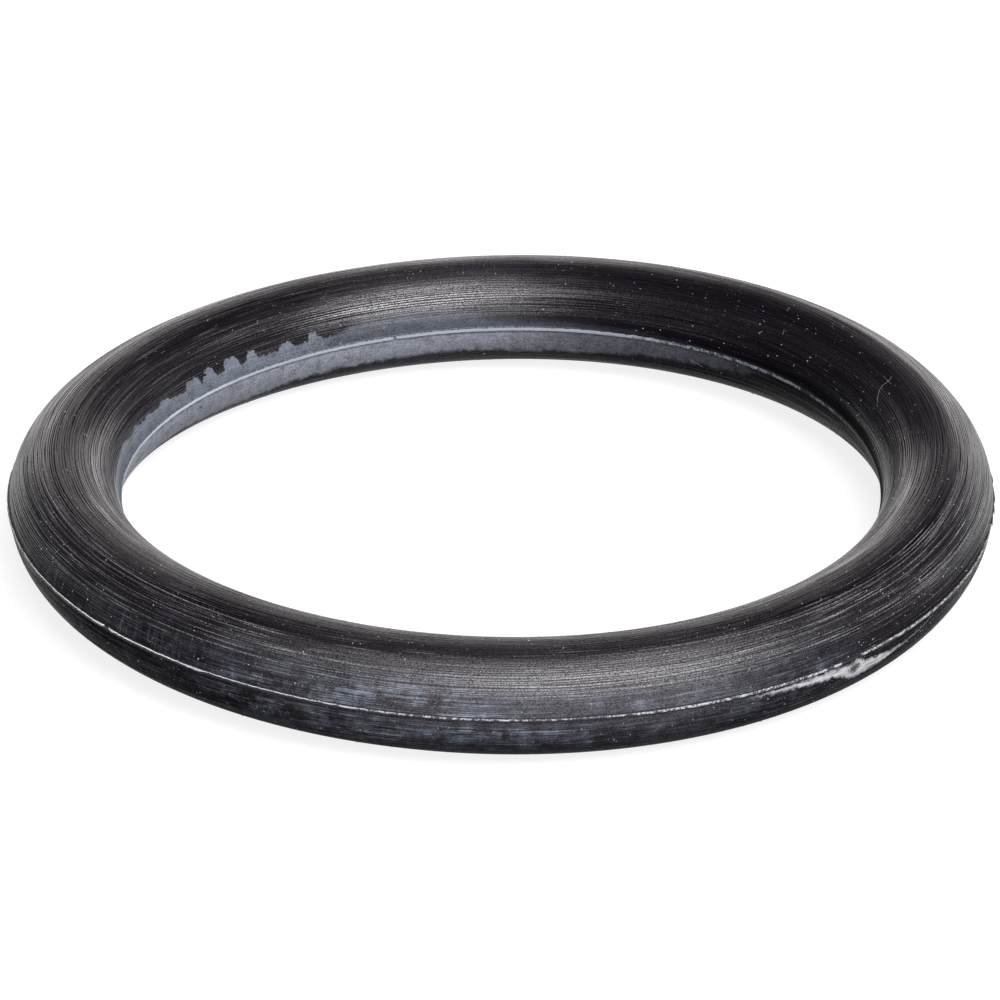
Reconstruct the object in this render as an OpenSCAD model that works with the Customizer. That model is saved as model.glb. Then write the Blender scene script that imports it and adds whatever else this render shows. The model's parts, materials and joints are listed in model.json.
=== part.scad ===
// Rubber o-ring, moulded in one piece: a round section turned about the ring's axis.
// The two halves of its mould met on the section's widest line, and left a band of
// trimmed flash round the inner edge and a thinner one round the outer edge.
// The ring lies flat. +Z is its axis, and the origin is its centre on the parting plane.

/* [Ring] */
// Inside diameter of the free ring, across the round section
ring_inner_d = 24; // [10:0.5:60]
// Diameter of the round section
cord_d = 3.5; // [2:0.1:8]

/* [Inner flash band] */
// Width of the band's trimmed face, along the ring's axis
inner_band_w = 0.15; // [0.08:0.01:0.3]
// Height that trimming left on the section
inner_band_h = 0.05; // [0.03:0.005:0.1]
// Width of the nick in the band
nick_w = 0.14; // [0.05:0.01:0.4]
// Where the nick is, round the ring from +X
nick_at = 107; // [90:1:170]

/* [Outer flash band] */
// Width of the band's trimmed face, along the ring's axis
outer_band_w = 0.09; // [0.06:0.01:0.3]
// Height that trimming left on the section
outer_band_h = 0.06; // [0.03:0.005:0.1]

/* [Torn flash] */
// Height of the stub left on the section at the bottom of a tear
stub_h = 0.01; // [0.005:0.005:0.025]
// How far a tear's floor rises past the band's face at the next tooth
tear_rise = 0.03; // [0.01:0.01:0.1]
// Widening of a band on each side, from its trimmed face down to its root
band_flare = 0.04; // [0.01:0.01:0.1]

/* [Hidden] */

ring_fn = 240;
cord_fn = 72;
rubber_colour = [0.09, 0.09, 0.095];

ring_r = (ring_inner_d + cord_d) / 2;
inner_edge_r = ring_r - cord_d / 2;
outer_edge_r = ring_r + cord_d / 2;

// How deep a band's outline reaches into the section, so that the two are one rubber
band_root = 0.2;
// How far a cutter runs past a band's face and past its flanks
cut_past = 0.3;
cut_h = max(inner_band_w, outer_band_w) + 2 * (band_flare + cut_past);

// Tips of the saw teeth torn in the outer band, in degrees from +X.
// Each tear is deepest behind a tip and runs out to full height at the next one.
outer_tooth_at = [5, 1, -4, -7, -10, -14, -19];
// Tips of the frayed stretch of the inner band
inner_tooth_at = [69, 66, 62, 59, 54, 51, 46, 43, 39, 36];
// Stretches where a band is gone down to its stub: first edge and sweep, in degrees
outer_gaps = [[219, 1.5], [311, 3]];
inner_gaps = [[33, 2.5]];

// Point at radius r and angle a in the plane of the ring
function polar(r, a) = [r * cos(a), r * sin(a)];

// The round section, at its place beside the ring's axis
module cord_section() {
    translate([ring_r, 0])
        circle(d = cord_d, $fn = cord_fn);
}

// Outline of a flash band on one edge of the section. side is 1 outside and -1 inside.
module band_section(side, edge_r, band_w, band_h) {
    root_r = edge_r - side * band_root;
    tip_r = edge_r + side * band_h;
    root_w = band_w + 2 * band_flare;
    polygon([
        [root_r, -root_w / 2],
        [tip_r, -band_w / 2],
        [tip_r, band_w / 2],
        [root_r, root_w / 2]
    ]);
}

// Section of the ring: the cord with both its bands
module ring_section() {
    cord_section();
    band_section(-1, inner_edge_r, inner_band_w, inner_band_h);
    band_section(1, outer_edge_r, outer_band_w, outer_band_h);
}

// Rubber that one half of the mould shaped. side is 1 above the parting plane and -1 below.
module mould_half(side) {
    half_from_z = side > 0 ? 0 : -cord_d;
    rotate_extrude($fn = ring_fn)
        intersection() {
            ring_section();
            translate([0, half_from_z])
                square([2 * ring_r, cord_d]);
        }
}

// The ring as it left the mould, before its flash was torn
module moulded_ring() {
    mould_half(1);
    mould_half(-1);
}

// Cutter for one tear of a band: down to the stub at deep_a, then rising out of the
// band's face before tip_a, so that the tooth there keeps a flat crest
module tear(side, edge_r, band_h, deep_a, tip_a) {
    stub_r = edge_r + side * stub_h;
    rise_r = edge_r + side * (band_h + tear_rise);
    past_r = edge_r + side * (band_h + cut_past);
    translate([0, 0, -cut_h / 2])
        linear_extrude(cut_h)
            polygon([
                polar(stub_r, deep_a),
                polar(past_r, deep_a),
                polar(past_r, tip_a),
                polar(rise_r, tip_a)
            ]);
}

// Cutters for a row of saw teeth, one tear between each tip and the next
module torn_teeth(side, edge_r, band_h, tips) {
    for (i = [0 : len(tips) - 2])
        tear(side, edge_r, band_h, tips[i], tips[i + 1]);
}

// Cutter for a stretch of band that is gone down to its stub
module gap(side, edge_r, band_h, start_a, sweep_a) {
    stub_r = edge_r + side * stub_h;
    past_r = edge_r + side * (band_h + cut_past);
    rotate([0, 0, start_a])
        rotate_extrude(angle = sweep_a, $fn = ring_fn)
            translate([min(stub_r, past_r), -cut_h / 2])
                square([abs(past_r - stub_r), cut_h]);
}

// Cutter for the square nick across the inner band
module nick() {
    rotate([0, 0, nick_at])
        translate([inner_edge_r - stub_h - inner_band_h - cut_past, -nick_w / 2, -cut_h / 2])
            cube([inner_band_h + cut_past, nick_w, cut_h]);
}

module o_ring() {
    color(rubber_colour)
        difference() {
            moulded_ring();
            torn_teeth(1, outer_edge_r, outer_band_h, outer_tooth_at);
            torn_teeth(-1, inner_edge_r, inner_band_h, inner_tooth_at);
            for (g = outer_gaps)
                gap(1, outer_edge_r, outer_band_h, g[0], g[1]);
            for (g = inner_gaps)
                gap(-1, inner_edge_r, inner_band_h, g[0], g[1]);
            nick();
        }
}

o_ring();
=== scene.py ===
import json
import math

import bpy
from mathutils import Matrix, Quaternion, Vector


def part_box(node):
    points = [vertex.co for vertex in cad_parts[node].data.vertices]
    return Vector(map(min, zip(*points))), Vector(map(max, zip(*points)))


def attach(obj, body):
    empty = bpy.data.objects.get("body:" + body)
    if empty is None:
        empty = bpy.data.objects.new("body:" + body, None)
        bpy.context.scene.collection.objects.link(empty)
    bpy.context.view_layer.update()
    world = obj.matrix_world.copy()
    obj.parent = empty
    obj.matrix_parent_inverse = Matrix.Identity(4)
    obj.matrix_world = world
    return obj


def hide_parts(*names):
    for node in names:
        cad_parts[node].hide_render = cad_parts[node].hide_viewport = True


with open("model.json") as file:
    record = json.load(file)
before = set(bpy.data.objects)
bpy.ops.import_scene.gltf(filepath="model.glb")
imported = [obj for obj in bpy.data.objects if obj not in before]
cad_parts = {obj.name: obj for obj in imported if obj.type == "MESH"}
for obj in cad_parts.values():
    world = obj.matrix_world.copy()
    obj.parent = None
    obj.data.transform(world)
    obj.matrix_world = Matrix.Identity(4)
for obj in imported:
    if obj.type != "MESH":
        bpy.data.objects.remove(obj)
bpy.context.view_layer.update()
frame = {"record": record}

mm = 0.001
mounts = {mount["name"]: mount["dims"] for mount in frame["record"]["mounts"]}
lowCorner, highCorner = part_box("o_ring")

# the ring as the frame has it, in metres
ring = {
    "cordRadius": (highCorner[2] - lowCorner[2]) / 2,
    "outerTip": mounts["outer_edge"]["r_mm"] * mm,        # trimmed face of the outer flash band
    "innerFaceWidth": mounts["bore"]["length_mm"] * mm,
    "outerFaceWidth": mounts["outer_edge"]["length_mm"] * mm,
    "innerHeight": 0.05 * mm,                             # of the bands above the round section
    "outerHeight": 0.06 * mm,
    "bendAlongAxes": 0.0023,                              # the loose ring is bent a little out of flat,
    "bendAcrossCorners": 0.0097,                          # by these shares of its radius
}
ring["radius"] = ring["outerTip"] - ring["outerHeight"] - ring["cordRadius"]
# mean height of the bent centre line, so that its lowest places still touch the floor
ring["bendHeight"] = ring["radius"] * math.hypot(ring["bendAlongAxes"], ring["bendAcrossCorners"])


def linearColour(hexText):
    channels = [int(hexText[i:i + 2], 16) / 255 for i in (1, 3, 5)]
    return [c / 12.92 if c <= 0.04045 else ((c + 0.055) / 1.055) ** 2.4 for c in channels] + [1.0]


# feeds a node's inputs with nodes, sockets or plain values
def feedNode(tree, node, feeds):
    for place, feed in (feeds.items() if isinstance(feeds, dict) else enumerate(feeds)):
        if isinstance(feed, bpy.types.Node):
            feed = feed.outputs[0]
        if isinstance(feed, bpy.types.NodeSocket):
            tree.links.new(feed, node.inputs[place])
        elif feed is not None:
            node.inputs[place].default_value = feed


# adds a node with its feeds and settings; a kind without Node in its name is a shader node
def addNode(tree, kind, feeds=(), **settings):
    node = tree.nodes.new(kind if "Node" in kind else "ShaderNode" + kind)
    for name, value in settings.items():
        setattr(node, name, value)
    feedNode(tree, node, feeds)
    return node


# how high the bent ring's centre line stands at a point, from the sine and cosine of twice its angle
def bendNodes(tree, ringAngle):
    twice = addNode(tree, "Math", (ringAngle, 2.0), operation="MULTIPLY")
    along = addNode(tree, "Math", (twice,), operation="COSINE")
    across = addNode(tree, "Math", (twice,), operation="SINE")
    alongHeight = addNode(tree, "Math", (along, ring["bendAlongAxes"] * ring["radius"], ring["bendHeight"]),
                          operation="MULTIPLY_ADD")
    return addNode(tree, "Math", (across, ring["bendAcrossCorners"] * ring["radius"], alongHeight),
                   operation="MULTIPLY_ADD")


# angle round the ring from +X and angle round the section from its outer edge, both in radians
def placeNodes(tree, position, bent):
    parts = addNode(tree, "SeparateXYZ", (position,))
    ringAngle = addNode(tree, "Math", (parts.outputs["Y"], parts.outputs["X"]), operation="ARCTAN2")
    flat = addNode(tree, "VectorMath", (position, (1.0, 1.0, 0.0)), operation="MULTIPLY")
    reach = addNode(tree, "VectorMath", (flat,), operation="LENGTH")
    outward = addNode(tree, "Math", (reach.outputs["Value"], ring["radius"]), operation="SUBTRACT")
    upward = parts.outputs["Z"]
    if bent:
        upward = addNode(tree, "Math", (upward, bendNodes(tree, ringAngle)), operation="SUBTRACT")
    sectionAngle = addNode(tree, "Math", (upward, outward), operation="ARCTAN2")
    return ringAngle, sectionAngle


# noise drawn out along the ring; roundRing and roundSection are how many of its waves a radian holds
def drawnOutNoise(tree, ringAngle, sectionAngle, roundRing, roundSection, detail, roughness=0.5):
    cosine = addNode(tree, "Math", (ringAngle,), operation="COSINE")
    sine = addNode(tree, "Math", (ringAngle,), operation="SINE")
    place = addNode(tree, "CombineXYZ", (cosine, sine, sectionAngle))
    waves = (roundRing, roundRing, roundSection)
    scaled = addNode(tree, "VectorMath", (place, waves), operation="MULTIPLY")
    return addNode(tree, "TexNoise", {
        "Vector": scaled, "Scale": 1.0, "Detail": detail, "Roughness": roughness})


# 1 between two angles in degrees and 0 outside them, fading over soft degrees at both ends
def windowNodes(tree, angle, first, last, soft):
    middle, half = math.radians((first + last) / 2), math.radians((last - first) / 2)
    away = addNode(tree, "Math", (angle, middle), operation="SUBTRACT")
    turned = addNode(tree, "Math", (away, math.pi, -math.pi), operation="WRAP")
    size = addNode(tree, "Math", (turned,), operation="ABSOLUTE")
    return addNode(tree, "MapRange", (size, half + math.radians(soft) / 2, half - math.radians(soft) / 2),
                   interpolation_type="SMOOTHSTEP")


# a value that runs smoothly through points, each an angle in degrees and the value there
def profileNodes(tree, angle, points):
    first, last = math.radians(points[0][0]), math.radians(points[-1][0])
    lowest, highest = min(value for place, value in points), max(value for place, value in points)
    middle = (first + last) / 2
    turned = addNode(tree, "Math", (angle, middle + math.pi, middle - math.pi), operation="WRAP")
    share = addNode(tree, "MapRange", (turned, first, last))
    curve = addNode(tree, "FloatCurve", {"Value": share})
    spots = [((math.radians(place) - first) / (last - first), (value - lowest) / (highest - lowest))
             for place, value in points]
    line = curve.mapping.curves[0].points
    line[0].location, line[1].location = spots[0], spots[-1]
    for spot in spots[1:-1]:
        line.new(*spot)
    for point in line:
        point.handle_type = "AUTO_CLAMPED"
    curve.mapping.update()
    return addNode(tree, "Math", (curve, highest - lowest, lowest), operation="MULTIPLY_ADD")


# a patch of the surface: one stretch round the ring and one round the section, each as windowNodes has it
def patchNodes(tree, ringAngle, sectionAngle, roundRing, roundSection):
    return addNode(tree, "Math", (windowNodes(tree, ringAngle, *roundRing),
                                  windowNodes(tree, sectionAngle, *roundSection)), operation="MULTIPLY")


# a share that varies over the surface: one profile round the ring times one round the section
def spreadNodes(tree, ringAngle, sectionAngle, roundRing, roundSection):
    return addNode(tree, "Math", (profileNodes(tree, ringAngle, roundRing),
                                  profileNodes(tree, sectionAngle, roundSection)), operation="MULTIPLY")


# an edge along the ring: its angle round the section, which the points give in degrees
def edgeNodes(tree, ringAngle, points):
    inDegrees = profileNodes(tree, ringAngle, points)
    return addNode(tree, "Math", (inDegrees, math.radians(1)), operation="MULTIPLY")


def newTree(name, inputs):
    tree = bpy.data.node_groups.new(name, "GeometryNodeTree")
    for label, kind in inputs.items():
        tree.interface.new_socket(label, in_out="INPUT", socket_type="NodeSocket" + kind)
    tree.interface.new_socket("Geometry", in_out="OUTPUT", socket_type="NodeSocketGeometry")
    return tree, addNode(tree, "NodeGroupInput").outputs


# ends a tree with smooth shading, real geometry and its finish
def endTree(tree, shape, finish):
    smooth = addNode(tree, "GeometryNodeSetShadeSmooth", (shape,))
    real = addNode(tree, "GeometryNodeRealizeInstances", (smooth,))
    finished = addNode(tree, "GeometryNodeSetMaterial", {"Geometry": real, "Material": finish})
    addNode(tree, "NodeGroupOutput", (finished,))


# runs a tree on an object of its own and keeps the result as a plain mesh
def growPiece(name, tree, values, startMesh=None):
    carrier = bpy.data.objects.new("carrier", startMesh or bpy.data.meshes.new("carrier"))
    bpy.context.scene.collection.objects.link(carrier)
    modifier = carrier.modifiers.new("grow", "NODES")
    modifier.node_group = tree
    for item in tree.interface.items_tree:
        if item.in_out == "INPUT" and item.name in values:
            modifier[item.identifier] = values[item.name]
    depsgraph = bpy.context.evaluated_depsgraph_get()
    mesh = bpy.data.meshes.new_from_object(carrier.evaluated_get(depsgraph), depsgraph=depsgraph)
    mesh.name = name
    carrier.modifiers.remove(modifier)
    bpy.data.objects.remove(carrier)
    piece = bpy.data.objects.new(name, mesh)
    bpy.context.scene.collection.objects.link(piece)
    print("  %s: %d faces" % (name, len(mesh.polygons)))
    return piece


print("finishes")


# a new material, with its places in mm and as angles round the ring and round the section
def newFinish(name):
    material = bpy.data.materials.new(name)
    material.use_nodes = True
    tree = material.node_tree
    position = addNode(tree, "TexCoord").outputs["Object"]
    inMm = addNode(tree, "VectorMath", {0: position, "Scale": 1 / mm}, operation="SCALE")
    ringAngle, sectionAngle = placeNodes(tree, position, bent=True)
    return material, tree, tree.nodes["Principled BSDF"], inMm, ringAngle, sectionAngle


# lays colours over each other, each by its own amount
def layerNodes(tree, ground, layers):
    colour = linearColour(ground)
    for hexText, amount in layers:
        mix = addNode(tree, "Mix", {0: amount, 6: colour, 7: linearColour(hexText)}, data_type="RGBA")
        colour = mix.outputs[2]
    return colour


nitrile = {
    "rubber": "#080609",
    "rubberWorn": "#130e17",
    "roughness": (0.22, 0.32),
    # how much the mould's polish still shows, by angle round the section
    "sheenAcross": ((-180, 0.02), (-60, 0.02), (-20, 0.03), (0, 0.06), (20, 0.12), (34, 0.5), (84, 0.5),
                    (104, 0.2), (118, 0.28), (131, 0.62), (157, 0.6), (166, 0.15), (173, 0.02),
                    (180, 0.02)),
    # patches that are duller, or shinier where the share is below 0: stretch and fade round the ring,
    # the same round the section, and the share
    "dulled": ((203, 337, 22, -70, 23, 14, 0.85), (-4, 62, 24, 78, 122, 10, 0.85),
               (8, 52, 20, 150, 184, 10, 0.75), (156, 190, 16, 10, 72, 20, -2.9),
               (-16, 30, 20, 8, 72, 20, -2.2), (166, 238, 20, 98, 148, 10, -1.8),
               (288, 356, 20, 98, 150, 12, -3.0), (215, 290, 30, 80, 101, 8, 0.35),
               (258, 302, 20, 60, 82, 10, 0.6), (186, 218, 16, 60, 84, 10, 0.15)),
    "turnedPitch": 0.078,           # mm between the marks that the lathe left in the mould
    "linePitch": 0.036,             # mm between the finer lines
    "lineLength": 7.0,              # mm that a line runs before it fades
    "lineDepth": 3.8,               # thousandths of a mm
    "broadPitch": 0.3,              # mm between soft waves in them
    "broadDepth": 3.0,              # thousandths of a mm
    "grain": (0.046, 0.03),         # mm along the ring and round the section
    "grainDepth": 3.4,              # thousandths of a mm
    # colour of the grey scuffing, which where it lies thickest is a painted highlight
    "dust": "#8d8d92",
    "lineDust": "#a9a9b0",
    # how much dust the grooves hold, by angle round the ring and round the section
    "dustRound": ((0, 0.3), (30, 0.1), (60, 0.1), (90, 0.3), (120, 0.5), (150, 0.5), (190, 0.6),
                  (215, 0.75), (240, 0.75), (275, 0.4), (305, 0.7), (335, 0.8), (360, 0.3)),
    "dustAcross": ((-50, 0.1), (-10, 0.3), (20, 0.3), (32, 1.0), (68, 1.0), (82, 0.35), (100, 0.5),
                   (150, 0.6), (172, 0.3)),
    # long scratches on the left and right of the front: their stretch round the ring, then where each
    # lies round the section and its strength
    "scratches": (
        (187, 243, ((35, 0.7), (40.5, 0.5), (44, 0.3), (49, 0.6), (51.5, 0.7), (57, 0.3), (61, 0.4),
                    (66, 1.0))),
        (300, 352, ((2.5, 1.0), (31, 0.7), (36, 0.6), (43, 0.3), (51, 0.6), (57, 0.3), (62.5, 0.7),
                    (66, 0.5))),
    ),
    # fine grey scuffing where the front has been rubbed, and a painted highlight: thickest where the key
    # light's reflection falls, on the front and on the far inner wall
    "scuffAndHighlightRound": ((0, 0.1), (30, 0.03), (60, 0.03), (84, 0.3), (100, 0.9), (122, 0.1), (180, 0.15),
                   (205, 0.06), (226, 0.06), (240, 0.25), (262, 0.75), (284, 1.0), (298, 0.55),
                   (314, 0.15), (345, 0.1), (360, 0.1)),
    "scuffAndHighlightAcross": ((-60, 0.1), (-20, 0.3), (5, 0.9), (20, 1.0), (55, 1.0), (66, 0.35), (76, 0.2),
                    (90, 0.2), (115, 0.4), (132, 0.9), (150, 0.8), (170, 0.5)),
}
bloom = {
    "colour": "#77808c",
    "clotColour": "#a3adbd",
    "lowerColour": "#9ea4b0",
    "innerSpan": (44, 232, 10),     # where it lies on the inner wall: stretch and fade round the ring
    # lowest points of the drips above the inner flash: angle round the ring, round the section, half width
    "drips": ((121, 155, 1.5), (125.6, 158, 2.1), (132.5, 154, 1.6), (137, 153, 1.9), (141.5, 152, 1.5),
              (145.7, 156, 2.2), (154, 157.5, 2.6), (159.3, 158, 2.4), (164.3, 157, 2.8), (171, 156, 4.0)),
    "upperEdge": ((40, 179), (62, 175), (80, 171), (90, 167), (96, 156), (104, 152), (112, 154), (118, 164),
                  (146, 165), (154, 161), (178, 160), (205, 168)),
    "upperDensity": ((50, 0.0), (75, 0.3), (92, 0.45), (112, 0.5), (120, 0.8), (126, 1.0), (180, 1.0),
                     (230, 0.6)),
    "crispness": ((60, 0.3), (85, 0.15), (112, 0.12), (120, 0.9), (160, 1.0)),
    "lowerEdge": ((38, -178), (46, -170), (53, -162), (64, -157), (84, -149), (95, -152), (125, -148),
                  (135, -142), (155, -146), (185, -138), (215, -160)),
    "lowerDensity": ((44, 0.1), (58, 0.32), (70, 0.4), (82, 0.62), (98, 0.95), (170, 1.0), (190, 0.9),
                     (230, 0.6)),
    "frontRound": ((196, 0.0), (212, 0.25), (228, 0.18), (243, 0.65), (266, 0.9), (284, 0.5), (302, 0.4),
                   (316, 0.0)),
    "frontAcross": ((-52, 0.0), (-32, 0.6), (-10, 1.1), (-1, 0.6), (5, 1.0), (18, 0.9), (34, 0.5),
                    (52, 0.0)),
    "creepArea": ((200, 240, 12), (2, 30, 16)),     # where it has only begun to creep down the front
    # thicker clots of it on the front: angles round the ring and the section, half widths, amount
    "clots": ((266, 6, 3.6, 3.0, 1.0), (269, -10, 4.2, 3.0, 0.9), (282, -13, 2.0, 3.0, 0.8),
              (287.5, 15, 3.0, 3.0, 0.7), (257, 21, 6.5, 9.0, 0.6), (262.5, 29, 4.5, 5.0, 0.5),
              (247, 11, 5.0, 6.0, 0.6), (281, 26, 3.0, 4.0, 0.3), (293, 16, 2.4, 5.0, 0.6),
              (238, 7, 5.0, 4.0, 0.5), (276, 3, 7.0, 2.4, 0.6), (240, -8, 5.0, 5.0, 0.55),
              (227, -15, 9.0, 6.0, 0.35), (236, -16, 6.0, 6.0, 0.3), (300, -14, 5.0, 4.0, 0.3)),
}
smear = {
    "colour": "#d6d9df",
    "span": (299, 327, 3),                     # its stretch and fade round the ring
    "upperEdge": ((298, -1.5), (308, -0.5), (312, -3), (314, -5.5), (318, -9.5), (321, -11.5),
                  (324, -9.5), (328, -3)),
    "lowerEdge": ((298, -3.5), (303, -6), (306, -9), (309, -11), (311.5, -16), (314, -24), (316.5, -23),
                  (319, -18.5), (321.5, -14.5), (324, -11.5), (328, -5)),
    "hook": (313.2, -11.0, 1.0, 5.5),          # angles round the ring and the section, and half widths
}


# how thick the blue-grey bloom lies: on the inner wall, above and below its flash, and down the front
def bloomNodes(tree, inMm, ringAngle, sectionAngle, lines):
    ragged = drawnOutNoise(tree, ringAngle, sectionAngle, 70.0, 1.0, 3.0, 0.6)
    jitter = addNode(tree, "MapRange", (ragged, 0.3, 0.7, math.radians(-4), math.radians(4)))

    # upper edge, pulled down by each drip
    edge = edgeNodes(tree, ringAngle, bloom["upperEdge"])
    swirl = addNode(tree, "TexNoise", {"Vector": inMm, "Scale": 3.2, "Detail": 2.0, "Roughness": 0.6})
    pulled = addNode(tree, "MapRange", (swirl, 0.3, 0.7, math.radians(-0.8), math.radians(0.8)))
    swayed = addNode(tree, "Math", (ringAngle, pulled), operation="ADD")
    for place, lowest, half in bloom["drips"]:
        away = addNode(tree, "Math", (swayed, -math.radians(place)), operation="ADD")
        share = addNode(tree, "Math", (away, 1 / math.radians(half)), operation="MULTIPLY")
        size = addNode(tree, "Math", (share,), operation="ABSOLUTE")
        steep = addNode(tree, "Math", (size, 2.3), operation="POWER")
        drip = addNode(tree, "Math", (steep, math.radians(11), math.radians(lowest)),
                       operation="MULTIPLY_ADD")
        edge = addNode(tree, "Math", (edge, drip), operation="MINIMUM")
    wander = addNode(tree, "Math", (jitter, 0.35, edge), operation="MULTIPLY_ADD")
    over = addNode(tree, "Math", (sectionAngle, wander), operation="SUBTRACT")
    crispness = profileNodes(tree, ringAngle, bloom["crispness"])
    above = addNode(tree, "Math", (over, crispness), operation="MULTIPLY")
    upper = addNode(tree, "MapRange", (above, math.radians(-0.8), math.radians(1.4)),
                    interpolation_type="SMOOTHSTEP")
    upperDensity = profileNodes(tree, ringAngle, bloom["upperDensity"])
    upperThick = addNode(tree, "Math", (upper, upperDensity), operation="MULTIPLY")

    lowerEdge = edgeNodes(tree, ringAngle, bloom["lowerEdge"])
    lowerWander = addNode(tree, "Math", (swirl, math.radians(14), lowerEdge), operation="MULTIPLY_ADD")
    below = addNode(tree, "Math", (lowerWander, sectionAngle), operation="SUBTRACT")
    lower = addNode(tree, "MapRange", (below, math.radians(3), math.radians(12)),
                    interpolation_type="SMOOTHSTEP")
    lowerDensity = profileNodes(tree, ringAngle, bloom["lowerDensity"])
    lowerThick = addNode(tree, "Math", (lower, lowerDensity), operation="MULTIPLY")
    innerSpan = windowNodes(tree, ringAngle, *bloom["innerSpan"])
    upperFilm = addNode(tree, "Math", (upperThick, innerSpan), operation="MULTIPLY")
    lowerFilm = addNode(tree, "Math", (lowerThick, innerSpan), operation="MULTIPLY")

    # down the front it lies in clouds, wiped along the ring
    runs = drawnOutNoise(tree, ringAngle, sectionAngle, 45.0, 1.8, 3.0, 0.6)
    clouds = addNode(tree, "TexNoise", {"Vector": inMm, "Scale": 1.3, "Detail": 6.0, "Roughness": 0.75})
    wiped = drawnOutNoise(tree, ringAngle, sectionAngle, 14.0, 22.0, 5.0, 0.7)
    washed = addNode(tree, "Math", (runs, 0.1, clouds), operation="MULTIPLY_ADD")
    both = addNode(tree, "Math", (wiped, 0.9, washed), operation="MULTIPLY_ADD")
    cloudy = addNode(tree, "MapRange", (both, 0.9, 1.18, 0.0, 1.0))
    frontArea = spreadNodes(tree, ringAngle, sectionAngle, bloom["frontRound"], bloom["frontAcross"])
    front = addNode(tree, "Math", (frontArea, cloudy), operation="MULTIPLY")

    # thin upright runs where it creeps down
    upright = drawnOutNoise(tree, ringAngle, sectionAngle, 95.0, 1.6, 2.0, 0.6)
    creeping = addNode(tree, "MapRange", (upright, 0.5, 0.7, 0.0, 0.34))
    creepArea = patchNodes(tree, ringAngle, sectionAngle, *bloom["creepArea"])
    crept = addNode(tree, "Math", (creeping, creepArea), operation="MULTIPLY")
    frontFilm = addNode(tree, "Math", (front, crept), operation="MAXIMUM")

    clots = addNode(tree, "MapRange", (both, 1.12, 1.3, 0.0, 0.8))
    irregular = addNode(tree, "Math", (both, -3.5, 3.5), operation="MULTIPLY_ADD")
    for place, height, halfRound, halfAcross, amount in bloom["clots"]:
        turned = addNode(tree, "Math", (ringAngle, math.radians(360 - place)), operation="ADD")
        beside = addNode(tree, "Math", (turned, 1 / math.radians(halfRound)), operation="MULTIPLY")
        above = addNode(tree, "Math", (sectionAngle, 1 / math.radians(halfAcross), -height / halfAcross),
                        operation="MULTIPLY_ADD")
        offCentre = addNode(tree, "CombineXYZ", (beside, above))
        away = addNode(tree, "VectorMath", (offCentre,), operation="LENGTH").outputs["Value"]
        frayed = addNode(tree, "Math", (away, irregular), operation="ADD")
        clot = addNode(tree, "MapRange", (frayed, 1.5, 0.6, 0.0, amount))
        clots = addNode(tree, "Math", (clots, clot), operation="MAXIMUM")
    inStreaks = addNode(tree, "MapRange", (lines, 0.0, 1.0, 0.15, 1.2))
    frontClots = addNode(tree, "Math", (clots, front), operation="MULTIPLY")
    clotted = addNode(tree, "Math", (frontClots, inStreaks), operation="MULTIPLY")
    onLines = addNode(tree, "MapRange", (lines, 0.0, 1.0, 0.3, 1.3))
    inLines = addNode(tree, "Math", (frontFilm, onLines), operation="MULTIPLY")
    whole = addNode(tree, "Math", (upperFilm, inLines), operation="MAXIMUM")

    # all of it is mottled like flour
    flour = addNode(tree, "TexNoise", {"Vector": inMm, "Scale": 19.0, "Detail": 2.0, "Roughness": 0.8})
    mottle = addNode(tree, "Math", (flour, 2.4, swirl), operation="MULTIPLY_ADD")
    density = addNode(tree, "MapRange", (mottle, 1.3, 2.1, 0.38, 1.15), clamp=False)
    return [addNode(tree, "Math", (film, density), operation="MULTIPLY", use_clamp=True)
            for film in (whole, lowerFilm, clotted)]


# dust held by the turned lines, thin and broken, and a few long scratches that are white with it
def dustyLineNodes(tree, ringAngle, sectionAngle, grain):
    perRadian = ring["cordRadius"] / mm / nitrile["linePitch"]
    alongRadian = ring["radius"] / mm / nitrile["lineLength"]
    hollows = drawnOutNoise(tree, ringAngle, sectionAngle, alongRadian * 2.5, perRadian, 1.0, 0.6)
    filled = addNode(tree, "MapRange", (hollows, 0.58, 0.7, 0.0, 0.75))
    area = spreadNodes(tree, ringAngle, sectionAngle, nitrile["dustRound"], nitrile["dustAcross"])
    lines = addNode(tree, "Math", (filled, area), operation="MULTIPLY")
    chalked = addNode(tree, "MapRange", (hollows, 0.35, 0.6, 0.1, 0.7))
    for first, last, scratches in nitrile["scratches"]:
        points = [(place + shift, strength * share) for place, strength in scratches
                  for shift, share in ((-0.8, 0.0), (0.0, 1.0), (0.8, 0.0))]
        span = windowNodes(tree, ringAngle, first, last, 14)
        across = profileNodes(tree, sectionAngle, points)
        ridge = addNode(tree, "Math", (across, span), operation="MULTIPLY")
        scratch = addNode(tree, "Math", (ridge, chalked), operation="MULTIPLY")
        lines = addNode(tree, "Math", (lines, scratch), operation="MAXIMUM")
    broken = addNode(tree, "MapRange", (grain, 0.38, 0.62, 0.15, 1.3))
    return addNode(tree, "Math", (lines, broken), operation="MULTIPLY", use_clamp=True)


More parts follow.
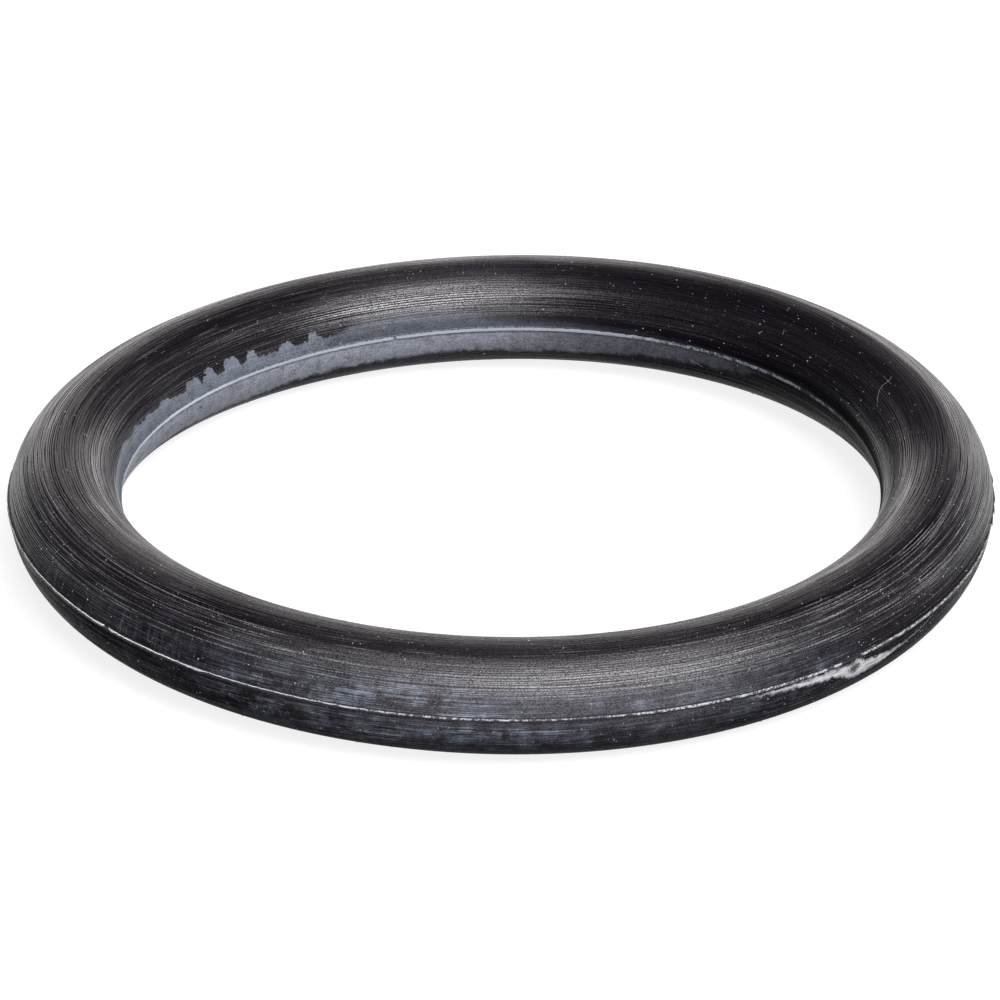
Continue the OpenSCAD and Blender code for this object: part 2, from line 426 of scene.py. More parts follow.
# talc smeared along the outer flash, with the hooked mark of something small that was dragged through it
def smearNodes(tree, inMm, ringAngle, sectionAngle):
    rough = addNode(tree, "TexNoise", {"Vector": inMm, "Scale": 6.0, "Detail": 3.0, "Roughness": 0.65})
    wander = addNode(tree, "MapRange", (rough, 0.25, 0.75, math.radians(-2.5), math.radians(2.5)))
    place = addNode(tree, "Math", (sectionAngle, wander), operation="ADD")
    lowerEdge = edgeNodes(tree, ringAngle, smear["lowerEdge"])
    upperEdge = edgeNodes(tree, ringAngle, smear["upperEdge"])
    overLower = addNode(tree, "Math", (place, lowerEdge), operation="SUBTRACT")
    underUpper = addNode(tree, "Math", (upperEdge, place), operation="SUBTRACT")
    inside = addNode(tree, "Math", (overLower, underUpper), operation="MINIMUM")
    body = addNode(tree, "MapRange", (inside, math.radians(-1.4), math.radians(4.6)),
                   interpolation_type="SMOOTHSTEP")
    streaks = drawnOutNoise(tree, ringAngle, sectionAngle, 24.0, 26.0, 3.0, 0.7)
    streaky = addNode(tree, "MapRange", (streaks, 0.37, 0.57, 0.48, 1.3))
    chalk = addNode(tree, "Math", (body, streaky), operation="MULTIPLY")

    # the hook is scraped thin inside, with a rim pushed up on its right
    hookTurn, hookDown, hookWide, hookTall = [math.radians(value) for value in smear["hook"]]
    sideways = addNode(tree, "Math", (ringAngle, -(hookTurn - 2 * math.pi)), operation="ADD")
    beside = addNode(tree, "Math", (sideways, 1 / hookWide), operation="MULTIPLY")
    above = addNode(tree, "Math", (sectionAngle, 1 / hookTall, -hookDown / hookTall),
                    operation="MULTIPLY_ADD")
    offCentre = addNode(tree, "CombineXYZ", (beside, above, 0.0))
    away = addNode(tree, "VectorMath", (offCentre,), operation="LENGTH").outputs["Value"]
    frayed = addNode(tree, "Math", (rough, 2.2, away), operation="MULTIPLY_ADD")
    scraped = addNode(tree, "MapRange", (frayed, 1.6, 2.3, 0.15, 1.0))
    rimRound = addNode(tree, "MapRange", (frayed, 3.0, 2.4, 0.0, 1.0))
    rimSide = addNode(tree, "MapRange", (sideways, -hookWide, hookWide, 0.0, 1.0))
    rim = addNode(tree, "Math", (rimRound, rimSide), operation="MULTIPLY")
    rimmed = addNode(tree, "Math", (chalk, rim), operation="MAXIMUM")
    hooked = addNode(tree, "Math", (rimmed, scraped), operation="MULTIPLY")
    span = windowNodes(tree, ringAngle, *smear["span"])
    return addNode(tree, "Math", (hooked, span), operation="MULTIPLY", use_clamp=True)


# nitrile rubber pressed in a turned steel mould: satin black, drawn with fine lines round the ring
# that catch the light, and hazed by a blue-grey bloom and by dust that stays in the lines
def mouldedNitrile():
    material, tree, shader, inMm, ringAngle, sectionAngle = newFinish("mouldedNitrile")
    lines, broadLines = [
        drawnOutNoise(tree, ringAngle, sectionAngle, ring["radius"] / mm / nitrile["lineLength"],
                      ring["cordRadius"] / mm / nitrile[pitch], 1.0, 0.6)
        for pitch in ("linePitch", "broadPitch")]
    grainLength, grainWidth = nitrile["grain"]
    grain = drawnOutNoise(tree, ringAngle, sectionAngle, ring["radius"] / mm / grainLength,
                          ring["cordRadius"] / mm / grainWidth, 1.0, 0.7)
    patches = addNode(tree, "TexNoise", {"Vector": inMm, "Scale": 0.5, "Detail": 3.0, "Roughness": 0.6})

    # even marks of the lathe, which drift a little and come and go, with finer uneven lines over them
    drift = addNode(tree, "Math", (broadLines, 14.0), operation="MULTIPLY")
    phasePerRadian = 2 * math.pi * ring["cordRadius"] / mm / nitrile["turnedPitch"]
    phase = addNode(tree, "Math", (sectionAngle, phasePerRadian, drift), operation="MULTIPLY_ADD")
    wave = addNode(tree, "Math", (phase,), operation="SINE")
    strength = addNode(tree, "MapRange", (patches, 0.3, 0.7, 0.07, 0.2))
    uneven = addNode(tree, "Math", (wave, strength, lines), operation="MULTIPLY_ADD")
    ridges = addNode(tree, "MapRange", (uneven, 0.38, 0.56))
    haze, lowerHaze, clots = bloomNodes(tree, inMm, ringAngle, sectionAngle, ridges)
    dusty = dustyLineNodes(tree, ringAngle, sectionAngle, grain)
    # grey scuffing, partly a painted highlight where the key light's reflection falls
    scuffAndHighlightArea = spreadNodes(tree, ringAngle, sectionAngle, nitrile["scuffAndHighlightRound"], nitrile["scuffAndHighlightAcross"])
    scuffAndHighlightGrain = addNode(tree, "MapRange", (grain, 0.36, 0.72, 0.1, 0.5))
    scuffAndHighlight = addNode(tree, "Math", (scuffAndHighlightArea, scuffAndHighlightGrain), operation="MULTIPLY")
    chalk = smearNodes(tree, inMm, ringAngle, sectionAngle)
    colour = layerNodes(tree, nitrile["rubber"], (
        (nitrile["rubberWorn"], patches), (nitrile["dust"], scuffAndHighlight), (bloom["colour"], haze),
        (bloom["lowerColour"], lowerHaze), (bloom["clotColour"], clots), (nitrile["lineDust"], dusty),
        (smear["colour"], chalk)))

    rough = addNode(tree, "MapRange", (broadLines, 0.3, 0.7) + nitrile["roughness"])
    scuffedRough = addNode(tree, "Math", (scuffAndHighlight, 0.4, rough), operation="MULTIPLY_ADD")
    hazedRough = addNode(tree, "Math", (haze, 0.25, scuffedRough), operation="MULTIPLY_ADD", use_clamp=True)

    # duller where the lower half of the mould was worn, and in the deepest lines
    sheen = profileNodes(tree, sectionAngle, nitrile["sheenAcross"])
    for first, last, fade, lowest, highest, soft, share in nitrile["dulled"]:
        patch = patchNodes(tree, ringAngle, sectionAngle, (first, last, fade), (lowest, highest, soft))
        left = addNode(tree, "Math", (patch, -share, 1.0), operation="MULTIPLY_ADD")
        sheen = addNode(tree, "Math", (sheen, left), operation="MULTIPLY")
    deepLine = addNode(tree, "MapRange", (ridges, 0.1, 0.8, 0.0, 1.35))
    sheenLines = addNode(tree, "Math", (sheen, deepLine), operation="MULTIPLY")
    dullGrain = addNode(tree, "MapRange", (grain, 0.37, 0.62, 0.2, 1.6))
    polish = addNode(tree, "Math", (sheenLines, dullGrain), operation="MULTIPLY")

    relief = None
    for height, depth in ((ridges, "lineDepth"), (broadLines, "broadDepth"), (grain, "grainDepth")):
        relief = addNode(tree, "Bump", {
            "Distance": nitrile[depth] * mm / 1000, "Height": height, "Normal": relief})
    tangent = addNode(tree, "Tangent", direction_type="RADIAL", axis="Z")
    feedNode(tree, shader, {
        "Base Color": colour, "Roughness": hazedRough, "Specular IOR Level": polish, "IOR": 1.55,
        "Anisotropic": 0.35, "Tangent": tangent, "Normal": relief})
    return material


# round: how much of the band is chalky cut, by angle round the ring.
# pale: the stretch of its outline that is so, in degrees from the middle of its face up over its top.
# widened: how much lower, in degrees, that stretch starts, by angle round the ring.
innerCut = {
    "name": "innerTrimmedFlash", "cut": "#a9b0bc", "uncut": "#19181b", "sheen": 0.08,
    "film": ("#77808c", 80, 220, 24),               # bloom beside the cut: colour, stretch and fade
    "cleanCutAndHighlight": ("#c9d1da", 138, 200, 24),             # painted highlight: paler where the band's relief catches the light, in the same way
    "round": ((0, 0.1), (24, 0.3), (36, 0.6), (50, 0.52), (62, 0.62), (72, 0.9), (84, 1.0), (180, 1.0),
              (300, 0.6), (360, 0.1)),
    "pale": (-40, 32), "wander": 8,                 # and how far its edges wander, in degrees
    "widened": ((0, 50), (60, 50), (76, 15), (90, 0), (300, 0), (359, 50)),
    "speck": 0.06, "cleanest": 0.1,                 # mm, and the least share of pale specks
    "dark": ((33, 35.5, 0.4), (106.8, 107.25, 0.25)),         # gaps: stretch and fade
}
outerCut = {
    "name": "outerTrimmedFlash", "cut": "#cdd1d9", "uncut": "#1f1e22", "sheen": 0.25,
    "film": ("#303239", 226, 300, 30),
    # where it was cut cleanest, in the same way as the film
    "cleanCutAndHighlight": ("#e2e6eb", 188, 233, 12),
    "round": ((-30, 0.6), (-12, 0.5), (0, 0.3), (120, 0.4), (185, 0.85), (200, 1.0), (236, 0.9),
              (248, 0.72), (256, 0.62), (272, 0.53), (284, 0.58), (292, 0.58), (303, 0.55), (318, 0.6),
              (330, 0.6)),
    "pale": (36, 64), "wander": 9,
    # crumbs of it hang lower at a few places
    "widened": ((200, 0), (216, 4), (218, 46), (220, 50), (222, 8), (232, 4), (234, 55), (235.5, 0),
                (247, 10), (262, 40), (280, 30), (291, 60), (330, 60)),
    "speck": 0.06, "cleanest": 0.1,
    "dark": ((219.4, 220.2, 0.4), (311, 314, 0.5)),
}


# the same rubber where the flash was ground away: a torn, chalky face that scatters the light
def trimmedFlash(look):
    material, tree, shader, inMm, ringAngle = newFinish(look["name"])[:5]
    around = addNode(tree, "Attribute", attribute_name="aroundBand").outputs["Fac"]
    speck = addNode(tree, "TexNoise", {
        "Vector": inMm, "Scale": 1 / look["speck"], "Detail": 2.0, "Roughness": 0.6})
    lump = addNode(tree, "TexNoise", {"Vector": inMm, "Scale": 4.0, "Detail": 3.0, "Roughness": 0.6})
    low, high = [math.radians(edge) for edge in look["pale"]]
    wander = math.radians(look["wander"])
    wandering = addNode(tree, "MapRange", (lump, 0.3, 0.7, -wander, wander))
    place = addNode(tree, "Math", (around, wandering), operation="ADD")
    widened = profileNodes(tree, ringAngle, look["widened"])
    hanging = addNode(tree, "Math", (widened, math.radians(1), place), operation="MULTIPLY_ADD")
    overLow = addNode(tree, "MapRange", (hanging, low - 0.12, low + 0.12))
    underHigh = addNode(tree, "MapRange", (place, high + 0.12, high - 0.12))
    cut = addNode(tree, "Math", (overLow, underHigh), operation="MULTIPLY")

    # the cut comes and goes in clumps where it isn't whole
    even = profileNodes(tree, ringAngle, look["round"])
    rest = addNode(tree, "Math", (1.0, even), operation="SUBTRACT")
    clump = addNode(tree, "MapRange", (lump, 0.4, 0.6, -0.5, 0.4))
    clumped = addNode(tree, "Math", (rest, clump, even), operation="MULTIPLY_ADD", use_clamp=True)
    share = addNode(tree, "Math", (clumped, cut), operation="MULTIPLY")
    for first, last, soft in look["dark"]:
        dark = windowNodes(tree, ringAngle, first, last, soft)
        left = addNode(tree, "Math", (1.0, dark), operation="SUBTRACT")
        share = addNode(tree, "Math", (share, left), operation="MULTIPLY")

    # where the cut is poor, only the roughest specks are pale
    least = addNode(tree, "MapRange", (share, 0.0, 1.0, 0.75, 0.2))
    most = addNode(tree, "Math", (least, 0.1), operation="ADD")
    specks = addNode(tree, "MapRange", (speck, least, most, look["cleanest"], 1.0))
    fullness = addNode(tree, "Math", (share, 0.5), operation="POWER")
    amount = addNode(tree, "Math", (fullness, specks), operation="MULTIPLY", use_clamp=True)
    filmColour, first, last, fade = look["film"]
    filmSpan = windowNodes(tree, ringAngle, first, last, fade)
    filmGrain = addNode(tree, "MapRange", (speck, 0.25, 0.7))
    filmed = addNode(tree, "Math", (filmSpan, filmGrain), operation="MULTIPLY")
    # on the inner band this paler stretch is a painted highlight where its relief catches the light; on the
    # outer band it is where the cut is cleanest
    cleanCutAndHighlightColour, first, last, fade = look["cleanCutAndHighlight"]
    cleanCutAndHighlightSpan = windowNodes(tree, ringAngle, first, last, fade)
    cleanCutAndHighlight = addNode(tree, "Math", (amount, cleanCutAndHighlightSpan), operation="MULTIPLY")
    colour = layerNodes(tree, look["uncut"], (
        (filmColour, filmed), (look["cut"], amount), (cleanCutAndHighlightColour, cleanCutAndHighlight)))
    rough = addNode(tree, "MapRange", (amount, 0.0, 1.0, 0.45, 0.85))
    bump = addNode(tree, "Bump", {"Distance": 0.004 * mm, "Height": speck})
    feedNode(tree, shader, {
        "Base Color": colour, "Roughness": rough, "Specular IOR Level": look["sheen"], "Normal": bump})
    return material


# talc and paper dust: matt white flecks that sit in the grooves
def talcDust():
    material, tree, shader, inMm = newFinish("talcDust")[:4]
    shade = addNode(tree, "TexNoise", {"Vector": inMm, "Scale": 9.0, "Detail": 1.0})
    colour = layerNodes(tree, "#747378", (("#cfcfd2", shade),))
    rough = addNode(tree, "MapRange", (shade, 0.0, 1.0, 0.7, 0.95))
    feedNode(tree, shader, {"Base Color": colour, "Roughness": rough})
    return material


nitrileFinish = mouldedNitrile()
innerCutFinish = trimmedFlash(innerCut)
outerCutFinish = trimmedFlash(outerCut)
dustMaterial = talcDust()

print("ring")

ringShape = {
    "Steps Round Ring": 256,
    "Steps Round Section": 384,
    "Line Depth": 0.5e-3 * mm,      # relief of the turned lines
    "Waviness": 6e-3 * mm,          # slow swell of the rubber
}


def ringTree():
    tree, given = newTree("mouldedRing", {
        "Ring Radius": "Float", "Cord Radius": "Float", "Steps Round Ring": "Int",
        "Steps Round Section": "Int", "Line Depth": "Float", "Waviness": "Float", "Finish": "Material"})
    path = addNode(tree, "GeometryNodeCurvePrimitiveCircle", {
        "Resolution": given["Steps Round Ring"], "Radius": given["Ring Radius"]})
    section = addNode(tree, "GeometryNodeCurvePrimitiveCircle", {
        "Resolution": given["Steps Round Section"], "Radius": given["Cord Radius"]})
    tube = addNode(tree, "GeometryNodeCurveToMesh", (path, section))
    position = addNode(tree, "GeometryNodeInputPosition")
    ringAngle, sectionAngle = placeNodes(tree, position, bent=False)
    lines = drawnOutNoise(tree, ringAngle, sectionAngle, 1.5, 24.0, 1.0)
    swell = addNode(tree, "TexNoise", {"Vector": position, "Scale": 160.0, "Detail": 1.0})
    lineStep = addNode(tree, "Math", (lines, given["Line Depth"]), operation="MULTIPLY")
    growth = addNode(tree, "Math", (swell, given["Waviness"], lineStep), operation="MULTIPLY_ADD")
    shrink = addNode(tree, "Math", (growth, given["Waviness"]), operation="SUBTRACT")
    normal = addNode(tree, "GeometryNodeInputNormal")
    shift = addNode(tree, "VectorMath", {0: normal, "Scale": shrink}, operation="SCALE")
    uneven = addNode(tree, "GeometryNodeSetPosition", {"Geometry": tube, "Offset": shift})
    lift = addNode(tree, "CombineXYZ", (0.0, 0.0, bendNodes(tree, ringAngle)))
    bent = addNode(tree, "GeometryNodeSetPosition", {"Geometry": uneven, "Offset": lift})
    endTree(tree, bent, given["Finish"])
    return tree


ringBody = growPiece("ringBody", ringTree(), ringShape | {
    "Ring Radius": ring["radius"], "Cord Radius": ring["cordRadius"], "Finish": nitrileFinish})

print("flash bands")

bandShape = {
    "Flare": 0.04 * mm,             # widening from the face down to the root, on each side
    "Root Depth": 0.05 * mm,
    "Stub": 0.01 * mm,              # height left at the bottom of a tear
    "Steps Round Ring": 1440,
    "Steps Round Section": 16,
}
innerFlashShape = {
    "side": -1, "edge": ring["radius"] - ring["cordRadius"],
    "height": ring["innerHeight"], "faceWidth": ring["innerFaceWidth"],
    "teeth": (69, 66, 62, 59, 54, 51, 46, 43, 39, 36),    # tips, in degrees round the ring
    "gaps": ((33.0, 35.5), (106.7, 107.3)),
    "rag": 0.35, "waver": 0.012 * mm,                     # share worn off its crest, and sideways wander
    "rise": 0.02 * mm, "sway": 0.0, "finish": innerCutFinish,
}
# the ring is twisted a little, so its outer flash rises on one side
outerFlashShape = {
    "side": 1, "edge": ring["radius"] + ring["cordRadius"],
    "height": ring["outerHeight"], "faceWidth": ring["outerFaceWidth"],
    "teeth": (5, 1, -4, -7, -10, -14, -19),
    "gaps": ((219.0, 220.5), (311.0, 314.0)),
    "rag": 0.6, "waver": 0.02 * mm,
    "rise": 0.076 * mm, "sway": 0.061 * mm, "finish": outerCutFinish,
}
highestAt = 215     # where the sway lifts a band most, in degrees round the ring


def flashTree(shape):
    tree, given = newTree("flashBand", {
        "Edge Radius": "Float", "Side": "Float", "Height": "Float", "Face Width": "Float", "Flare": "Float",
        "Root Depth": "Float", "Stub": "Float", "Rag": "Float", "Waver": "Float", "Rise": "Float",
        "Sway": "Float", "Steps Round Ring": "Int", "Steps Round Section": "Int", "Finish": "Material"})

    # a plain tube that only gives each point its two angles
    path = addNode(tree, "GeometryNodeCurvePrimitiveCircle", {
        "Resolution": given["Steps Round Ring"], "Radius": ring["radius"]})
    section = addNode(tree, "GeometryNodeCurvePrimitiveCircle", {
        "Resolution": given["Steps Round Section"], "Radius": 0.1 * mm})
    tube = addNode(tree, "GeometryNodeCurveToMesh", (path, section))
    ringAngle, turn = placeNodes(tree, addNode(tree, "GeometryNodeInputPosition"), bent=False)

    # how much of the band is torn away
    lost = None
    for tip, nextTip in zip(shape["teeth"], shape["teeth"][1:]):
        inTear = addNode(tree, "MapRange", (ringAngle, math.radians(nextTip + 0.2), math.radians(tip)),
                         clamp=False)
        under = addNode(tree, "Math", (inTear, 1.0), operation="LESS_THAN")
        kept = addNode(tree, "Math", (inTear, under), operation="MULTIPLY")
        tear = addNode(tree, "Math", (kept, 0.0), operation="MAXIMUM")
        lost = tear if lost is None else addNode(tree, "Math", (lost, tear), operation="ADD")
    for first, last in shape["gaps"]:
        gap = windowNodes(tree, ringAngle, first, last, 0.4)
        lost = addNode(tree, "Math", (lost, gap), operation="ADD")
    torn = addNode(tree, "Math", (lost, 0.0), operation="ADD", use_clamp=True)
    ragNoise = drawnOutNoise(tree, ringAngle, turn, 90.0, 0.0, 3.0, 0.7)
    ragged = addNode(tree, "MapRange", (ragNoise, 0.45, 0.7, 0.0, 1.0))
    ragDepth = addNode(tree, "Math", (ragged, given["Rag"]), operation="MULTIPLY")
    goneShare = addNode(tree, "Math", (torn, ragDepth), operation="MAXIMUM")
    top = addNode(tree, "MapRange", (goneShare, 0.0, 1.0, given["Height"], given["Stub"]))

    # the section: a trapezoid with eased corners, rooted in the ring
    cosine = addNode(tree, "Math", (turn,), operation="COSINE")
    sine = addNode(tree, "Math", (turn,), operation="SINE")
    rise = addNode(tree, "MapRange", (cosine, -0.75, 0.75))
    spread = addNode(tree, "MapRange", (sine, -0.8, 0.8, -1.0, 1.0))
    root = addNode(tree, "Math", (given["Root Depth"], -1.0), operation="MULTIPLY")
    height = addNode(tree, "MapRange", (rise, 0.0, 1.0, root, top))
    halfFace = addNode(tree, "Math", (given["Face Width"], 0.5), operation="MULTIPLY")
    halfRoot = addNode(tree, "Math", (halfFace, given["Flare"]), operation="ADD")
    half = addNode(tree, "MapRange", (rise, 0.0, 1.0, halfRoot, halfFace))
    sideways = addNode(tree, "Math", (spread, half), operation="MULTIPLY")

    # where the band stands: it wavers, rises on one side and follows the bent ring
    waverNoise = drawnOutNoise(tree, ringAngle, turn, 9.0, 0.0, 2.0)
    waver = addNode(tree, "Math", (waverNoise, 0.5), operation="SUBTRACT")
    wavering = addNode(tree, "Math", (waver, given["Waver"], sideways), operation="MULTIPLY_ADD")
    swayTurn = addNode(tree, "Math", (ringAngle, math.radians(-highestAt)), operation="ADD")
    swayShare = addNode(tree, "Math", (swayTurn,), operation="COSINE")
    twist = addNode(tree, "Math", (swayShare, given["Sway"], given["Rise"]), operation="MULTIPLY_ADD")
    level = addNode(tree, "Math", (wavering, twist), operation="ADD")
    bandZ = addNode(tree, "Math", (level, bendNodes(tree, ringAngle)), operation="ADD")
    reach = addNode(tree, "Math", (height, given["Side"], given["Edge Radius"]), operation="MULTIPLY_ADD")
    ringCosine = addNode(tree, "Math", (ringAngle,), operation="COSINE")
    ringSine = addNode(tree, "Math", (ringAngle,), operation="SINE")
    bandX = addNode(tree, "Math", (ringCosine, reach), operation="MULTIPLY")
    bandY = addNode(tree, "Math", (ringSine, reach), operation="MULTIPLY")
    place = addNode(tree, "CombineXYZ", (bandX, bandY, bandZ))
    marked = addNode(tree, "GeometryNodeStoreNamedAttribute", {
        "Geometry": tube, "Name": "aroundBand", "Value": turn}, data_type="FLOAT")
    shaped = addNode(tree, "GeometryNodeSetPosition", {"Geometry": marked, "Position": place})
    outwards = addNode(tree, "GeometryNodeFlipFaces", (shaped,)) if shape["side"] < 0 else shaped
    endTree(tree, outwards, given["Finish"])
    return tree


def flashBand(name, shape):
    return growPiece(name, flashTree(shape), bandShape | {
        "Edge Radius": shape["edge"], "Side": float(shape["side"]), "Height": shape["height"],
        "Face Width": shape["faceWidth"], "Rag": shape["rag"], "Waver": shape["waver"],
        "Rise": shape["rise"], "Sway": shape["sway"], "Finish": shape["finish"]})


innerFlash = flashBand("innerFlash", innerFlashShape)
outerFlash = flashBand("outerFlash", outerFlashShape)

print("dust and lint")

dust = {
    "density": 1.2e7,         # flecks to a square metre where they lie thickest
    "fleck": (0.007, 0.03),   # mm
    "seed": 7,
    # where they lie thickest: stretch and fade round the ring and round the section
    "frontBand": ((190, 350, 40), (-30, 110, 30)),
    "backWall": ((5, 130, 40), (95, 178, 20)),
}


def dustTree():
    tree, given = newTree("talcFlecks", {
        "Surface": "Geometry", "Density": "Float", "Smallest": "Float", "Largest": "Float", "Seed": "Int",
        "Finish": "Material"})
    ringAngle, sectionAngle = placeNodes(tree, addNode(tree, "GeometryNodeInputPosition"), bent=True)
    frontBand = patchNodes(tree, ringAngle, sectionAngle, *dust["frontBand"])
    backWall = patchNodes(tree, ringAngle, sectionAngle, *dust["backWall"])
    thick = addNode(tree, "Math", (frontBand, backWall), operation="ADD", use_clamp=True)
    share = addNode(tree, "MapRange", (thick, 0.0, 1.0, 0.25, 1.0))
    density = addNode(tree, "Math", (share, given["Density"]), operation="MULTIPLY")
    points = addNode(tree, "GeometryNodeDistributePointsOnFaces", {
        "Mesh": given["Surface"], "Density": density, "Seed": given["Seed"]})
    fleck = addNode(tree, "GeometryNodeMeshIcoSphere", {"Radius": 1.0, "Subdivisions": 1})
    chance = addNode(tree, "FunctionNodeRandomValue", {"Seed": 3}, data_type="FLOAT")
    rare = addNode(tree, "Math", (chance.outputs[1], 4.5), operation="POWER")     # big flecks are rare
    size = addNode(tree, "MapRange", (rare, 0.0, 1.0, given["Smallest"], given["Largest"]))
    stretch = addNode(tree, "FunctionNodeRandomValue", {0: (0.5, 0.5, 0.4), 1: (1.6, 1.0, 0.9), "Seed": 5},
                      data_type="FLOAT_VECTOR")
    scale = addNode(tree, "VectorMath", {0: stretch, "Scale": size}, operation="SCALE")
    spin = addNode(tree, "FunctionNodeRandomValue", {0: (0.0, 0.0, 0.0), 1: (6.28, 6.28, 6.28), "Seed": 9},
                   data_type="FLOAT_VECTOR")
    flecks = addNode(tree, "GeometryNodeInstanceOnPoints", {
        "Points": points, "Instance": fleck, "Rotation": spin, "Scale": scale})
    endTree(tree, flecks, given["Finish"])
    return tree


whiteDust = growPiece("whiteDust", dustTree(), {
    "Density": dust["density"], "Smallest": dust["fleck"][0] * mm, "Largest": dust["fleck"][1] * mm,
    "Seed": dust["seed"], "Finish": dustMaterial}, ringBody.data.copy())

# each fibre is a few points: angle round the ring, angle round the section, height above it in mm
lint = {
    "thickness": 0.006,      # mm
    "fibres": (
        ((19.2, 106, 0.03), (18.6, 110, 0.05), (18.2, 115, 0.05), (18.4, 120, 0.04), (17.6, 127, 0.05),
         (16.4, 133, 0.04), (15.2, 138, 0.02)),
        ((20.4, 112, 0.02), (19.0, 113, 0.06), (17.6, 112, 0.02)),
        # short hairs
        ((43.0, 128, 0.02), (42.7, 131, 0.05), (42.6, 135, 0.02)),
        ((59.0, -165, 0.02), (57.6, -163, 0.05), (56.6, -158, 0.02)),
        ((80.4, 154, 0.02), (79.8, 157, 0.05), (80.0, 161, 0.02)),
        ((206.0, 34, 0.01), (206.4, 38, 0.04), (206.2, 42, 0.01)),
        ((322.0, 41, 0.01), (321.6, 45, 0.04), (321.9, 49, 0.01)),
    ),
}


def onRing(ringDegrees, sectionDegrees, height):
    theta, phi = math.radians(ringDegrees), math.radians(sectionDegrees)
    outward = ring["cordRadius"] + height * mm
    reach = ring["radius"] + outward * math.cos(phi)
    bend = ring["radius"] * (ring["bendAlongAxes"] * math.cos(2 * theta)
                             + ring["bendAcrossCorners"] * math.sin(2 * theta)) + ring["bendHeight"]
    return reach * math.cos(theta), reach * math.sin(theta), bend + outward * math.sin(phi)


def lintFibres():
    hair = bpy.data.curves.new("lintFibres", "CURVE")
    hair.dimensions = "3D"
    hair.bevel_depth = lint["thickness"] * mm / 2
    hair.bevel_resolution = 2
    hair.use_fill_caps = True
    for fibre in lint["fibres"]:
        spline = hair.splines.new("NURBS")
        spline.points.add(len(fibre) - 1)
        spline.use_endpoint_u = True
        spline.order_u = 4
        for point, place in zip(spline.points, fibre):
            point.co = (*onRing(*place), 1.0)
    carrier = bpy.data.objects.new("carrier", hair)
    bpy.context.scene.collection.objects.link(carrier)
    depsgraph = bpy.context.evaluated_depsgraph_get()
    mesh = bpy.data.meshes.new_from_object(carrier.evaluated_get(depsgraph), depsgraph=depsgraph)
    bpy.data.objects.remove(carrier)
    mesh.materials.clear()
    mesh.materials.append(dustMaterial)
    mesh.shade_smooth()
    piece = bpy.data.objects.new("lintFibres", mesh)
    bpy.context.scene.collection.objects.link(piece)
    return piece


lintPiece = lintFibres()

print("floor, light and camera")

studio = {
    "floor": "#979797", "floorSize": 3.0, "floorGlow": 0.84, "floorGleam": 0.77,
    # each softbox: turn round the ring and rise in degrees, size in metres, power in watts;
    # all are a metre from the ring
    "softboxes": {
        "keySoftbox": (299, 52.5, (0.8, 0.58), 15),
        "lowSoftbox": (290, 13, (0.85, 0.45), 2.2),
        "rimSoftbox": (78, 7, (1.0, 0.2), 0.55),
    },
    "lampColour": "#fffbfc",
    "skyColour": "#fff8f9",
    "fill": 0.04,
    # low light on the backdrop behind the ring: first and last turn, fade and height in degrees, strength
    "backGlow": (60, 116, 22, 23, 2.15),
    # soft reflectors: turn, rise and half width in degrees, strength
    "reflectors": ((100, 24, 26, 0.4),),
}


# a unit step from the ring towards a turn and a rise in degrees
def aimAt(turn, rise):
    turn, rise = math.radians(turn), math.radians(rise)
    return Vector((math.cos(rise) * math.cos(turn), math.cos(rise) * math.sin(turn), math.sin(rise)))


# a matt sweep, lit evenly: it glows a little to the camera and in the rubber's gloss, as white paper does
def studioFloor():
    mesh = bpy.data.meshes.new("studioFloor")
    half, z = studio["floorSize"], lowCorner[2]
    corners = [(-half, -half, z), (half, -half, z), (half, half, z), (-half, half, z)]
    mesh.from_pydata(corners, [], [(0, 1, 2, 3)])
    material = bpy.data.materials.new("whiteSweep")
    material.use_nodes = True
    tree = material.node_tree
    seen = addNode(tree, "LightPath")
    mirrored = addNode(tree, "Math", (seen.outputs["Is Glossy Ray"], seen.outputs["Is Transmission Ray"]),
                       operation="ADD", use_clamp=True)
    gleam = addNode(tree, "Math", (mirrored, studio["floorGleam"]), operation="MULTIPLY")
    glow = addNode(tree, "Math", (seen.outputs["Is Camera Ray"], studio["floorGlow"], gleam),
                   operation="MULTIPLY_ADD")
    feedNode(tree, tree.nodes["Principled BSDF"], {
        "Base Color": linearColour(studio["floor"]), "Roughness": 0.9, "Specular IOR Level": 0.0,
        "Emission Color": (1.0, 1.0, 1.0, 1.0), "Emission Strength": glow})
    mesh.materials.append(material)
    floor = bpy.data.objects.new("studioFloor", mesh)
    bpy.context.scene.collection.objects.link(floor)


def softbox(name, turn, rise, size, power):
    lamp = bpy.data.lights.new(name, "AREA")
    lamp.shape = "RECTANGLE"
    lamp.size, lamp.size_y = size
    lamp.energy = power
    lamp.color = linearColour(studio["lampColour"])[:3]
    holder = bpy.data.objects.new(name, lamp)
    bpy.context.scene.collection.objects.link(holder)
    holder.location = aimAt(turn, rise)
    holder.rotation_euler = aimAt(turn, rise).to_track_quat("Z", "Y").to_euler()


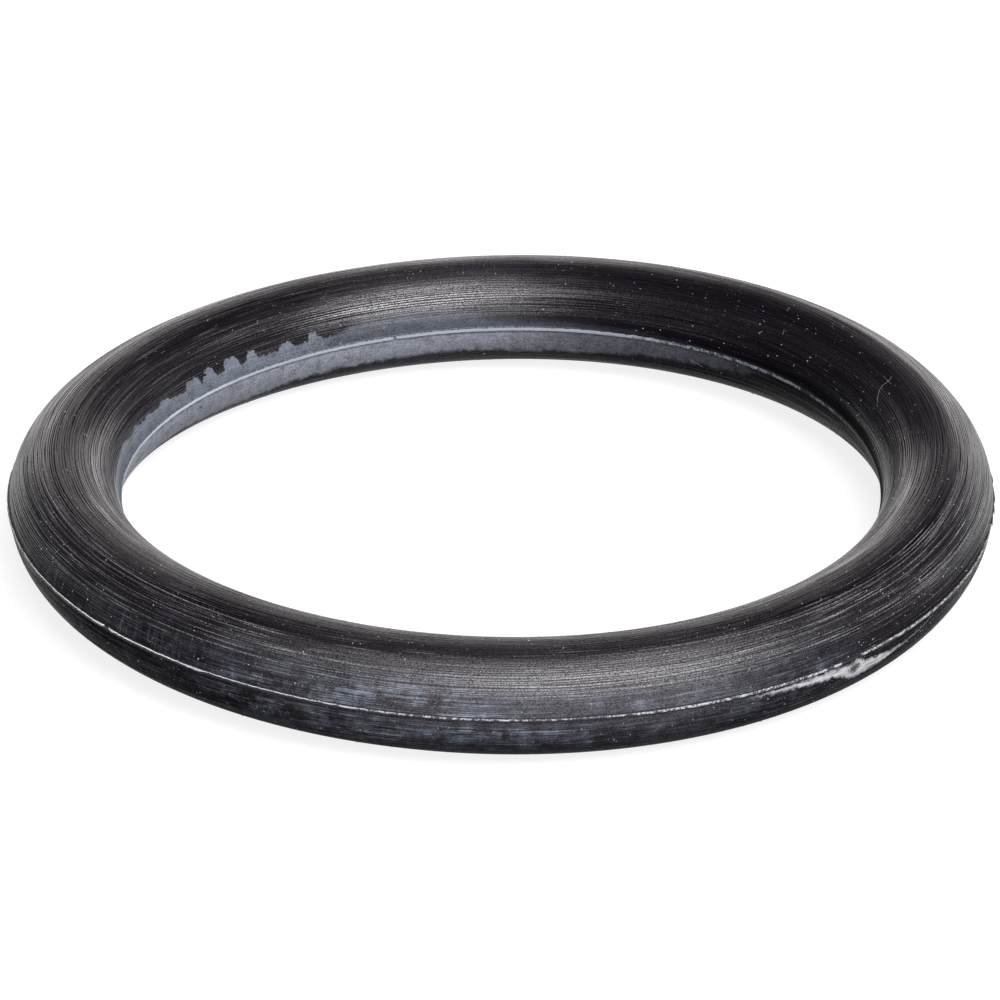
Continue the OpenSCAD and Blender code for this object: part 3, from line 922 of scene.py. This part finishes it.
def studioLight():
    world = bpy.data.worlds.new("softStudio")
    bpy.context.scene.world = world
    world.use_nodes = True
    tree = world.node_tree
    direction = addNode(tree, "TexCoord").outputs["Generated"]
    parts = addNode(tree, "SeparateXYZ", (direction,))
    turn = addNode(tree, "Math", (parts.outputs["Y"], parts.outputs["X"]), operation="ARCTAN2")
    rise = addNode(tree, "Math", (parts.outputs["Z"],), operation="ARCSINE")
    level = studio["fill"]
    for reflectorTurn, reflectorRise, spread, strength in studio["reflectors"]:
        facing = addNode(tree, "VectorMath", (direction, tuple(aimAt(reflectorTurn, reflectorRise))),
                         operation="DOT_PRODUCT")
        rim, core = [math.cos(math.radians(width)) for width in (spread, spread * 0.4)]
        soft = addNode(tree, "MapRange", (facing.outputs["Value"], rim, core, 0.0, strength),
                       interpolation_type="SMOOTHSTEP")
        level = addNode(tree, "Math", (soft, level), operation="ADD")
    first, last, fade, height, strength = studio["backGlow"]
    low = addNode(tree, "MapRange", (rise, 0.0, math.radians(height), strength, 0.0))
    glow = addNode(tree, "Math", (low, windowNodes(tree, turn, first, last, fade)), operation="MULTIPLY")
    whole = addNode(tree, "Math", (glow, level), operation="ADD")
    feedNode(tree, tree.nodes["Background"], {
        "Color": linearColour(studio["skyColour"]), "Strength": whole})
    for name, settings in studio["softboxes"].items():
        softbox(name, *settings)


view = {
    "elevation": 26.36,                    # degrees above the floor
    "distance": 14.717 * ring["radius"],
    "lens": 230.86,                        # mm on a 36 mm sensor
    "aimOffset": (-0.038, -0.357),         # mm to the right of and above the ring's centre
    "roll": -0.154,                        # degrees
}


def studioCamera():
    camera = bpy.data.cameras.new("camera")
    camera.lens = view["lens"]
    camera.sensor_width = 36.0
    camera.clip_start = 0.01
    camera.clip_end = 10.0
    holder = bpy.data.objects.new("camera", camera)
    bpy.context.scene.collection.objects.link(holder)
    elevation = math.radians(view["elevation"])
    centre = Vector((0.0, 0.0, ring["bendHeight"]))
    place = centre + Vector((0.0, -math.cos(elevation), math.sin(elevation))) * view["distance"]
    upward = Vector((0.0, math.sin(elevation), math.cos(elevation)))
    right, above = view["aimOffset"]
    target = centre + (Vector((1.0, 0.0, 0.0)) * right + upward * above) * mm
    look = (target - place).normalized()
    turn = look.to_track_quat("-Z", "Y") @ Quaternion((0.0, 0.0, 1.0), math.radians(view["roll"]))
    holder.location = place
    holder.rotation_euler = turn.to_euler()
    bpy.context.scene.camera = holder


studioFloor()
studioLight()
studioCamera()
bpy.context.scene.view_settings.view_transform = "Standard"

for piece in (ringBody, innerFlash, outerFlash, whiteDust, lintPiece):
    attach(piece, "root")
    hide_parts("o_ring")
